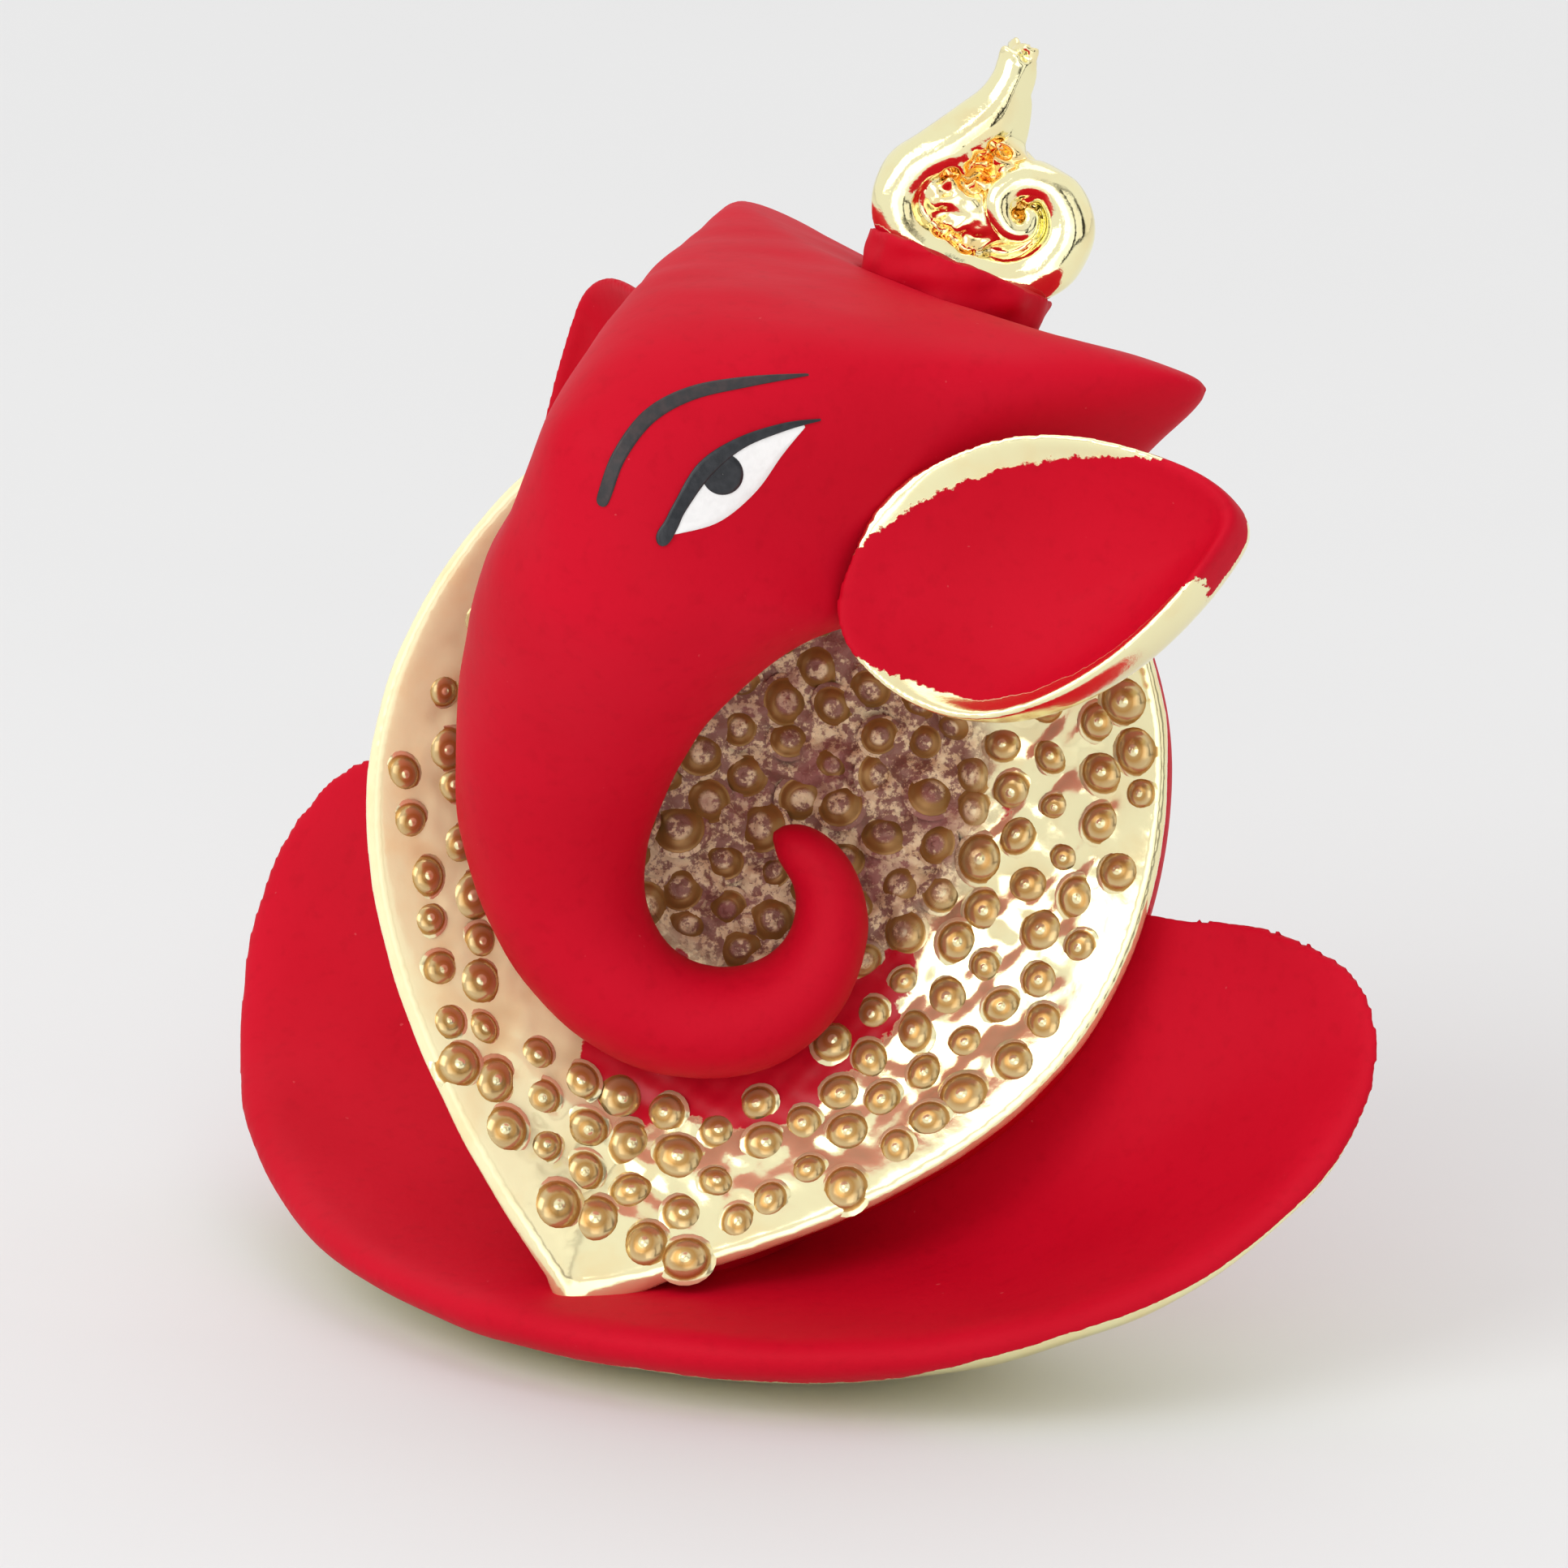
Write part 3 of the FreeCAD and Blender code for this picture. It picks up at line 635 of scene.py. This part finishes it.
def make_leaf(head_tree, dish_tree):
    """The leaf's own plate: gently hammered between the pearls, smooth at its border."""
    leaf = cast_piece("leaf_casting", "chest_medallion", 0.255, 6)
    points = points_of(leaf)
    side, out, up = in_figure(points)
    slope = normals_of(leaf) @ np.array(FIGURE.inverted().to_3x3()).T
    inward = -slope[:, 0] * side - slope[:, 2] * (up - LEAF_CENTRE_UP)
    front = (slope[:, 1] < -0.5) | ((slope[:, 1] < 0.3) & (inward > 0))
    rim = smooth(-1.2, 0.2, out)
    hook, wash = leaf_masks(points, head_tree)
    dents = (0.06 + 0.10 * hook) * waves(points, 3.4, 21)
    grit = (0.025 + 0.09 * hook) * waves(points, 1.5, 22)
    relief = np.where(front, (dents + grit) * (1 - 0.9 * rim), 0.02 * waves(points, 4, 23))
    swell(leaf, relief)
    set_mask(leaf, "dull", np.where(front, hook, 0))
    set_mask(leaf, "wash", np.where(front, wash, np.where(out < -2, 1.0, 0.0)))
    set_mask(leaf, "low", np.where(front, np.clip(0.6 - 2.5 * relief, 0, 1), 0))
    # Painted shade: the deeper a dent, the darker and more amber its gold
    set_mask(leaf, "tone", np.clip(-1.5 * relief, 0, 0.35))
    # Painted reflection: less metal towards the left flank, so it reads pale as if mirroring the bright room
    set_mask(leaf, "pale", 0.30 + 0.62 * (1 - smooth(-7, 1, side)))
    tuck_into(leaf, dish_tree)
    return leaf


# A pearl's outline as (radius, height, darkness), the first two as shares of its own radius and height; the
# darkness is painted shade and amber reflection, dark rings round the dome and a light teat as a painted
# highlight
PEARL_OUTLINE = [(1.34, -0.3, 0.0), (1.16, -0.04, 0.0), (1.06, 0.02, 1.3), (0.99, 0.12, 1.3),
                 (0.92, 0.32, 0.85), (0.80, 0.54, 0.60), (0.64, 0.73, 0.75), (0.46, 0.85, 1.0),
                 (0.29, 0.89, 0.9), (0.22, 0.93, 0.05), (0.15, 1.03, 0.0), (0.05, 1.07, 0.4)]


def add_pearl(dice, centre, radius, leaf_tree, verts, faces, heights_and_shades):
    """Adds one pearl: a turned dome with a small teat, uneven as a piped drop is."""
    around = 20
    spot, normal, face, gap = leaf_tree.find_nearest(centre)
    normal = (normal * 0.7 + CHEST_OUT * 0.3).normalized()
    tilt = Vector([dice.uniform(-0.14, 0.14) for _ in range(3)])
    up = (normal + tilt).normalized()
    right = up.orthogonal().normalized()
    front = up.cross(right)
    wide = radius * dice.uniform(0.92, 1.28)
    squash = dice.uniform(0.84, 1.0)
    tall = wide * dice.uniform(0.36, 0.48)
    turn = dice.uniform(0, math.pi)
    long_way = right * math.cos(turn) + front * math.sin(turn)
    short_way = front * math.cos(turn) - right * math.sin(turn)
    start = len(verts)
    for share, height, tone in PEARL_OUTLINE:
        for k in range(around):
            angle = 2 * math.pi * k / around
            spoke = long_way * math.cos(angle) + short_way * (squash * math.sin(angle))
            verts.append(spot + spoke * (wide * share) + up * tall * height)
            # Each point keeps its height and its painted shade
            heights_and_shades.append((height, tone))
    verts.append(spot + up * tall * PEARL_OUTLINE[-1][1])
    heights_and_shades.append(PEARL_OUTLINE[-1][1:])
    for ring in range(len(PEARL_OUTLINE) - 1):
        for k in range(around):
            a = start + ring * around + k
            b = start + ring * around + (k + 1) % around
            faces.append((a, b, b + around, a + around))
    last = start + (len(PEARL_OUTLINE) - 1) * around
    for k in range(around):
        faces.append((last + k, last + (k + 1) % around, last + around))


def make_pearls(dice, node, leaf_tree, head_tree):
    """One zone's slip pearls."""
    verts, faces, heights_and_shades = [], [], []
    for centre, radius in pearl_spots(node):
        add_pearl(dice, centre, radius, leaf_tree, verts, faces, heights_and_shades)
    pearls = new_piece(node.replace("pearls", "slip_pearls"), verts, faces)
    hook, wash = leaf_masks(points_of(pearls), head_tree)
    height, tone = np.array(heights_and_shades).T
    set_mask(pearls, "dull", hook)
    set_mask(pearls, "wash", wash * 0.3)
    set_mask(pearls, "low", np.clip(1 - height, 0, 1))
    # The tone mask carries each pearl's painted shade and reflection
    set_mask(pearls, "tone", tone)
    # The pearls take a little metal off too, for the same painted pale reflection
    set_mask(pearls, "pale", 0.35)
    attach(pearls, "root")
    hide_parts(node)
    return pearls


# Brush strokes on the face that is seen, as (side, up, half width) in the figure's frame, in millimetres
EYE_WHITE = [(-10.7, 41.7, 0.05), (-10.4, 42.2, 0.4), (-9.3, 44.0, 1.2), (-8.4, 46.2, 1.45),
             (-7.4, 48.3, 1.0), (-5.9, 50.2, 0.05)]
LID = [(-10.9, 40.9, 0.1), (-10.9, 41.1, 0.34), (-10.9, 41.5, 0.46), (-10.8, 42.2, 0.42), (-10.7, 43.4, 0.4),
       (-10.2, 45.8, 0.5), (-8.9, 47.9, 0.34), (-6.9, 49.7, 0.22), (-5.2, 50.8, 0.05)]
BROW = [(-14.8, 41.7, 0.1), (-14.8, 41.9, 0.32), (-14.85, 42.5, 0.4), (-14.9, 44.7, 0.42),
        (-14.2, 47.3, 0.44), (-12.5, 49.4, 0.4), (-9.8, 51.2, 0.3), (-6.7, 52.9, 0.05)]
PUPIL = (-9.2, 45.9, 1.2)
# Rays at the face start this far in front of the chest plane, in metres
BEFORE_FACE = 0.06


def face_film(name, node, grid, head_tree, thick):
    """Two films of paint that hug the head: a grid of places in the chest plane, and its mirror image."""
    face = FIGURE @ Matrix.Rotation(-FACE_TURN, 4, "Z")
    mirror = face @ Matrix.Scale(-1, 4, (1, 0, 0)) @ face.inverted()
    rows, columns = len(grid), len(grid[0])
    verts, faces = [], []
    for view, flip in ((Matrix.Identity(4), False), (mirror, True)):
        start = len(verts)
        for side, up, sunk in (place for row in grid for place in row):
            source = view @ (FIGURE @ Vector((side * MM, -BEFORE_FACE, up * MM)))
            spot, normal, index, gap = head_tree.ray_cast(source, view.to_3x3() @ -CHEST_OUT)
            verts.append(spot + normal * ((-0.05 if sunk else thick) * MM))
        for row in range(rows - 1):
            for column in range(columns - 1):
                a = start + row * columns + column
                quad = (a, a + 1, a + columns + 1, a + columns)
                faces.append(quad[::-1] if flip else quad)
    film = new_piece(name, verts, faces)
    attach(film, "root")
    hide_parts(node)
    return film


def stroke_grid(stations):
    """The places of a stroke's film: rows along it, and nine across with both edges sunk."""
    fine = curve_through(stations, 7)
    grid = []
    shares = (-1.0, -0.93, -0.6, -0.3, 0, 0.3, 0.6, 0.93, 1.0)
    for i, (side, up, half) in enumerate(fine):
        ahead = fine[min(i + 1, len(fine) - 1)] - fine[max(i - 1, 0)]
        run = ahead[:2] / np.linalg.norm(ahead[:2])
        end = i in (0, len(fine) - 1)
        half = max(half, 0.02)
        grid.append([(side - run[1] * half * k, up + run[0] * half * k, end or abs(k) == 1) for k in shares])
    return grid


def disc_grid(side, up, radius):
    """The places of a round dot's film: rings from the middle out, the last one sunk."""
    count = 36
    grid = []
    angles = [2 * math.pi * k / count for k in range(count + 1)]
    for share in (0.02, 0.35, 0.7, 0.95, 1.0):
        reach = radius * share
        grid.append([(side + reach * math.sin(a), up + reach * math.cos(a), share == 1) for a in angles])
    return grid


# ------------------------------------------------------------ putting it together

make_camera()
make_studio()

red = paint_and_plate("matte_red", ragged=0.5, plate_rough=0.13)
red_gold = paint_and_plate("red_over_gold", ragged=0.45, plate_rough=0.16)
knot_gold = paint_and_plate("knot_plate", ragged=0.35, plate_rough=0.07)
beaded = beaded_plate("beaded_gold")

head = make_head()
head_tree = tree_of(head)
dress(head, red)
collar = make_collar()
dress(collar, red)
knot = make_knot()
dress(knot, knot_gold)
for name, node, seen in (("near_ear_casting", "left_ear", True), ("far_ear_casting", "right_ear", False)):
    dress(make_ear(name, node, head_tree, seen), red_gold)
dish = make_dish()
dish_tree = tree_of(dish)
dress(dish, red_gold)
dress(make_torso(head_tree, dish_tree), red)

leaf = make_leaf(head_tree, dish_tree)
leaf_tree = tree_of(leaf)
dress(leaf, beaded)
dice = random.Random(5)
for node, slot in (("pearls_hollow", "antique_gold"), ("pearls_left_flank", "gold_plate"),
                   ("pearls_lower", "gold_plate"), ("pearls_right_flank", "gold_plate")):
    dress(make_pearls(dice, node, leaf_tree, head_tree), beaded)

white = eye_paint("eye_white", (0.97, 0.96, 0.95, 1), 0.4, (0.90, 0.89, 0.88, 1))
black = eye_paint("eye_black", (0.012, 0.014, 0.018, 1), 0.32, (0.03, 0.032, 0.038, 1))
brown = eye_paint("brow_black", (0.020, 0.018, 0.020, 1), 0.4, (0.05, 0.03, 0.03, 1))
for name, node, grid, thick, enamel, slot in (
        ("painted_whites", "eye_whites", stroke_grid(EYE_WHITE), 0.05, white, "eye_white_paint"),
        ("painted_pupils", "eye_pupils", disc_grid(*PUPIL), 0.10, black, "eye_black_paint"),
        ("painted_lids", "eyelid_lines", stroke_grid(LID), 0.12, black, "eye_black_paint"),
        ("painted_brows", "eyebrows", stroke_grid(BROW), 0.08, brown, "eye_black_paint")):
    dress(face_film(name, node, grid, head_tree, thick), enamel)

bpy.context.scene.view_settings.view_transform = "Standard"
